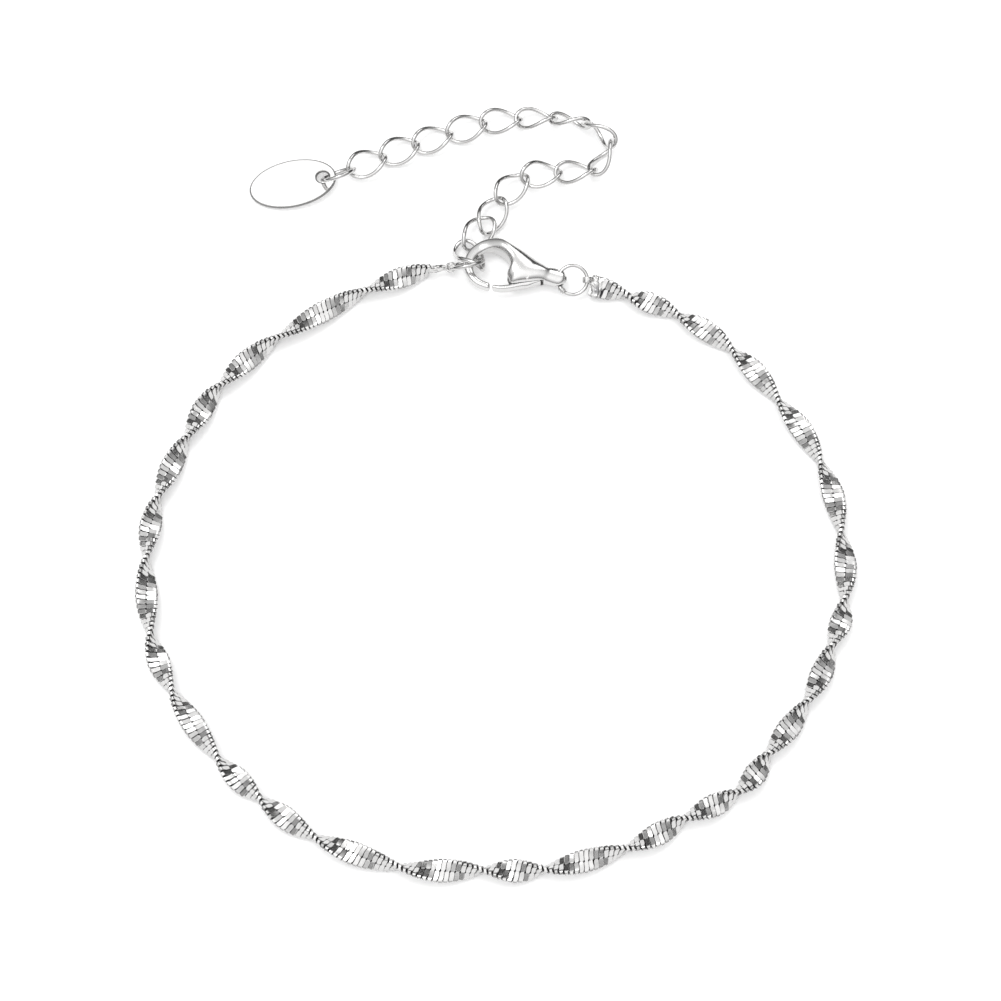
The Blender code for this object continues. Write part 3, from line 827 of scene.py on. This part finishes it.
class BRACELET_OT_stage(bpy.types.Operator):
    """Add the floor, the soft light and the camera"""

    bl_idname = "bracelet.stage"
    bl_label = "Add stage"

    def execute(self, context):
        settings = context.scene.bracelet
        deselect_all()
        bpy.ops.mesh.primitive_plane_add(size=FLOOR_SIZE, location=(0.0, 0.0, 0.0))
        floor = context.active_object
        floor.name = "floor"
        material = bpy.data.materials.new("Floor paper")
        material.use_nodes = True
        shader = material.node_tree.nodes["Principled BSDF"]
        shader.inputs["Base Color"].default_value = (*settings.floor_tone, 1.0)
        shader.inputs["Roughness"].default_value = 1.0
        shader.inputs["Specular IOR Level"].default_value = 0.0
        shader.inputs["Emission Color"].default_value = (1.0, 1.0, 1.0, 1.0)
        shader.inputs["Emission Strength"].default_value = FLOOR_GLOW
        floor.data.materials.append(material)
        self.add_world(context)
        self.add_lights()
        self.add_camera(context)
        context.scene.view_settings.view_transform = "Standard"
        return {"FINISHED"}

    def add_world(self, context):
        """A pale room for the silver to reflect, brightest overhead and dark low down."""
        world = bpy.data.worlds.new("Studio")
        world.use_nodes = True
        context.scene.world = world
        nodes, links = world.node_tree.nodes, world.node_tree.links
        direction = nodes.new("ShaderNodeTexCoord")
        toward = nodes.new("ShaderNodeVectorMath")
        toward.operation = "DOT_PRODUCT"
        toward.inputs[1].default_value = ROOM_BRIGHTEST
        links.new(direction.outputs["Generated"], toward.inputs[0])
        ramp = nodes.new("ShaderNodeValToRGB")
        links.new(toward.outputs["Value"], ramp.inputs["Fac"])
        elements = ramp.color_ramp.elements
        for end in (0, -1):
            position, level = ROOM_STEPS[end]
            elements[end].position = position
            elements[end].color = (level, level, level, 1.0)
        for position, level in ROOM_STEPS[1:-1]:
            elements.new(position).color = (level, level, level, 1.0)
        back = nodes["Background"]
        back.inputs["Strength"].default_value = ROOM_STRENGTH
        links.new(ramp.outputs["Color"], back.inputs["Color"])

    def add_lights(self):
        """One soft light above on the left and a smaller one behind."""
        for name, (spot, size, power) in LAMPS.items():
            lamp = bpy.data.lights.new(name, "AREA")
            lamp.shape = "DISK"
            lamp.size = size
            lamp.energy = power
            holder = bpy.data.objects.new(name, lamp)
            holder.location = spot
            holder.rotation_euler = (-Vector(spot)).to_track_quat("-Z", "Y").to_euler()
            bpy.context.scene.collection.objects.link(holder)

    def add_camera(self, context):
        """The camera at the photograph's angle."""
        data = bpy.data.cameras.new("camera")
        data.lens = CAMERA_LENS
        data.sensor_width = CAMERA_SENSOR
        data.clip_start = 0.01
        camera = bpy.data.objects.new("camera", data)
        elevation = math.radians(CAMERA_ELEVATION)
        away = Vector((0.0, -math.cos(elevation), math.sin(elevation)))
        camera.location = (Vector(CAMERA_AIM) + away * CAMERA_DISTANCE) * MM
        camera.rotation_euler = (math.radians(90.0 - CAMERA_ELEVATION), 0.0, 0.0)
        context.scene.collection.objects.link(camera)
        context.scene.camera = camera


class BRACELET_OT_chain(bpy.types.Operator):
    """Build the twisted two-row chain with its soldered ends"""

    bl_idname = "bracelet.chain"
    bl_label = "Build twisted chain"

    def execute(self, context):
        bars = listed_silver("Chain silver", depth=True)
        coil_row("chain_row_outer", 1.0, 0.0, bars)
        coil_row("chain_row_inner", -1.0, 0.5, bars)
        # Painted shade: a thin near-black band inside the chain, seen through the gaps between the bars in
        # place of the shade there.
        dark = silver_material("Chain painted gap shade", (0.05, 0.05, 0.055), (0.03, 0.03, 0.03), 0.5, 0.0, 900.0)
        course = chain_course()
        length = course[0][-1]
        width = context.scene.bracelet.chain_width / MM
        runs = np.arange(0.7, length - 0.3, 0.25)
        core = skin_sections("chain_painted_shade_core", band_sections(course, runs, width - 0.30, 0.05, 0.8, 8))
        finish_piece(core, dark, ROOT, "twisted_chain", crease=180.0)
        solder = listed_silver("Solder silver", depth=True)
        runs = np.linspace(*TIP_RUNS, 12)
        thick = np.interp(runs, *TIP_THICKNESS)
        wide = np.interp(runs, *TIP_WIDTH)
        sections = band_sections(course, runs, wide, thick, 0.55, 28)
        sections = sections + solder_lumps(5, TIP_LUMPS, sections.shape)
        tip = skin_sections("chain_tip", sections)
        # Painted shade: the solder is darkened round one spot, standing in for the shade in a dimple.
        away = np.linalg.norm(sections.reshape(-1, 3)[:, :2] - np.array(SOLDER_DIMPLE_SHADE), axis=1)
        write_painted_shade(tip, np.clip(1.3 - away / DIMPLE_SHADE_RADIUS, 0.0, 1.0))
        finish_piece(tip, solder, ROOT, "twisted_chain", crease=60.0)
        spots = chain_frames(course, np.array([0.5, length - 0.5]))[0]
        chain_eye("chain_eye_right", "jump_ring_clasp", 0.0, spots[0], solder)
        chain_eye("chain_eye_left", "jump_ring_chain_end", LEFT_EYE_ANGLE, spots[1], solder)
        near, _, across, through = (rows[0] for rows in chain_frames(course, np.array([length - 0.45])))
        spot, _ = eye_spot("jump_ring_chain_end", LEFT_EYE_ANGLE)
        reach = RINGS["jump_ring_chain_end"][3] / 2 + EYE_CLEARANCE + 0.10
        eye_side = spot - unit(spot - near) * reach
        solder_wedge("chain_wedge", near, across, through, eye_side, solder)
        return {"FINISHED"}


class BRACELET_OT_jump_rings(bpy.types.Operator):
    """Build the three jump rings"""

    bl_idname = "bracelet.jump_rings"
    bl_label = "Build jump rings"

    def execute(self, context):
        wire = listed_silver("Ring silver")
        for name, (_, _, _, thickness) in RINGS.items():
            degrees = np.linspace(0.0, 360.0, 144, endpoint=False)
            if name == "jump_ring_clasp":
                # The ring is closed by a rough blob of solder.
                swell = np.exp(-(((degrees - SOLDER_ANGLE) / SOLDER_SPREAD) ** 4))
                thickness = thickness * (1 + swell * (0.45 + 0.40 * np.sin(degrees * 0.9) ** 2))
            ring = wire_through(name + "_wire", ring_points(name, degrees), thickness, sides=16)
            finish_piece(ring, wire, ROOT, name, crease=180.0)
        return {"FINISHED"}


class BRACELET_OT_clasp(bpy.types.Operator):
    """Build the lobster clasp's body"""

    bl_idname = "bracelet.clasp"
    bl_label = "Build clasp body"

    def execute(self, context):
        polish = listed_silver("Clasp silver")
        rows = clasp_rows()
        at = np.linspace(0, len(rows) - 1, (len(rows) - 1) * 5 + 1)
        sections = rounded_ends(pillow_sections(smooth_curve(rows, at)), 0.16)
        body = skin_sections("clasp_shell", sections)
        slot = flat_plate("lever_slot", slot_outline(), LEVER_THICKNESS + 2 * LEVER_CLEARANCE)
        cut_or_join(body, slot, "DIFFERENCE")
        pin_half = CLASP_THICKNESS * 0.40
        pivot = body_point(*PIVOT_SHARES)
        pin = round_bar("lever_pin", (*pivot, -pin_half), (*pivot, pin_half), PIN_RADIUS)
        cut_or_join(body, pin, "UNION")
        body.matrix_world = clasp_matrix()
        make_active(body)
        bpy.ops.object.transform_apply(location=True, rotation=True, scale=True)
        spots = ring_points("jump_ring_clasp", np.array([178.0, 180.0, 182.0]))
        ahead = unit(spots[2] - spots[0])
        inward = spots[1] + np.array([TAIL_HOLE_CLEARANCE * 0.4, 0.0, 0.0])
        reach = ahead * TAIL_RADIUS * 2
        hole = RINGS["jump_ring_clasp"][3] / 2 + TAIL_HOLE_CLEARANCE
        cut_or_join(body, round_bar("tail_hole", inward - reach, inward + reach, hole), "DIFFERENCE")
        finish_piece(body, polish, ROOT, "clasp_body", crease=38.0)
        return {"FINISHED"}


class BRACELET_OT_lever(bpy.types.Operator):
    """Build the clasp's sprung lever"""

    bl_idname = "bracelet.lever"
    bl_label = "Build clasp lever"

    def execute(self, context):
        polish = listed_silver("Lever silver")
        rows = lever_rows()
        at = np.linspace(0, len(rows) - 1, (len(rows) - 1) * 6 + 1)
        lever = skin_sections("clasp_gate", rounded_ends(pillow_sections(smooth_curve(rows, at)), 0.10))
        pivot, half = body_point(*PIVOT_SHARES), LEVER_THICKNESS
        bore = round_bar("lever_bore", (*pivot, -half), (*pivot, half), PIN_RADIUS + LEVER_CLEARANCE)
        cut_or_join(lever, bore, "DIFFERENCE")
        lever.matrix_world = clasp_matrix()
        finish_piece(lever, polish, LEVER, "clasp_lever", crease=38.0)
        return {"FINISHED"}


class BRACELET_OT_extender(bpy.types.Operator):
    """Build the extender chain's curb links"""

    bl_idname = "bracelet.extender"
    bl_label = "Build extender chain"

    def execute(self, context):
        wire = listed_silver("Link silver")
        for i, row in enumerate(EXTENDER_LINKS, start=1):
            node = f"extender_link_{i:02d}"
            thickness = context.scene.bracelet.link_wire / MM
            link = wire_through(node + "_wire", link_points(row), thickness)
            finish_piece(link, wire, ROOT, node, crease=180.0)
        return {"FINISHED"}


class BRACELET_OT_tag(bpy.types.Operator):
    """Build the oval tag with its hole"""

    bl_idname = "bracelet.tag"
    bl_label = "Build tag"

    def execute(self, context):
        tone = tuple(context.scene.bracelet.silver_tone)
        satin = silver_material("Tag silver", shaded(tone, 1.2), shaded(tone, 1.1), 0.16, 0.3, 260.0)
        deselect_all()
        bpy.ops.mesh.primitive_cylinder_add(vertices=128, radius=0.5 * MM, depth=TAG_THICKNESS * MM)
        tag = context.active_object
        tag.name = "tag_plate"
        bpy.ops.transform.resize(value=(TAG_LENGTH, TAG_WIDTH, 1.0))
        bpy.ops.object.transform_apply(location=True, rotation=True, scale=True)
        at = TAG_LENGTH / 2 - TAG_HOLE_INSET
        reach = TAG_THICKNESS * 2
        hole = round_bar("tag_hole", (at, 0.0, -reach), (at, 0.0, reach), TAG_HOLE_RADIUS, 48)
        cut_or_join(tag, hole, "DIFFERENCE")
        bevel_edges(tag, TAG_BEVEL, 4)
        tag.rotation_euler = (0.0, -math.radians(TAG_TILT), math.radians(TAG_HEADING))
        tag.location = Vector(TAG_CENTRE) * MM
        finish_piece(tag, satin, ROOT, "oval_tag", crease=8.0)
        # Painted shade: the rim gets a much darker copy of the tag's silver than the face, standing in for
        # the shade along its edge.
        rim = silver_material("Tag rim painted shade", shaded(tone, 0.33), shaded(tone, 0.24), 0.25, 0.3, 260.0)
        tag.data.materials.append(rim)
        face_way = max(tag.data.polygons, key=lambda face: face.area).normal.copy()
        for face in tag.data.polygons:
            face.material_index = int(abs(face.normal.dot(face_way)) < TAG_FACE_LIMIT)
        return {"FINISHED"}


STEPS = ("chain", "jump_rings", "clasp", "lever", "extender", "tag", "stage")


class BRACELET_PT_panel(bpy.types.Panel):
    """Sidebar panel that lists the bracelet's steps"""

    bl_idname = "BRACELET_PT_panel"
    bl_label = "Chain Bracelet"
    bl_space_type = "VIEW_3D"
    bl_region_type = "UI"
    bl_category = "Bracelet"

    def draw(self, context):
        settings = context.scene.bracelet
        for name in BraceletSettings.__annotations__:
            self.layout.prop(settings, name)
        for step in STEPS:
            self.layout.operator("bracelet." + step)


CLASSES = (
    BraceletSettings,
    BRACELET_OT_stage,
    BRACELET_OT_chain,
    BRACELET_OT_jump_rings,
    BRACELET_OT_clasp,
    BRACELET_OT_lever,
    BRACELET_OT_extender,
    BRACELET_OT_tag,
    BRACELET_PT_panel,
)


def register():
    """Register the add-on's classes and its settings."""
    for item in CLASSES:
        bpy.utils.register_class(item)
    bpy.types.Scene.bracelet = bpy.props.PointerProperty(type=BraceletSettings)


def unregister():
    """Remove the add-on's settings and classes."""
    del bpy.types.Scene.bracelet
    for item in reversed(CLASSES):
        bpy.utils.unregister_class(item)


def main():
    """Build every piece in order."""
    register()
    for step in STEPS:
        getattr(bpy.ops.bracelet, step)()


if __name__ == "__main__":
    main()
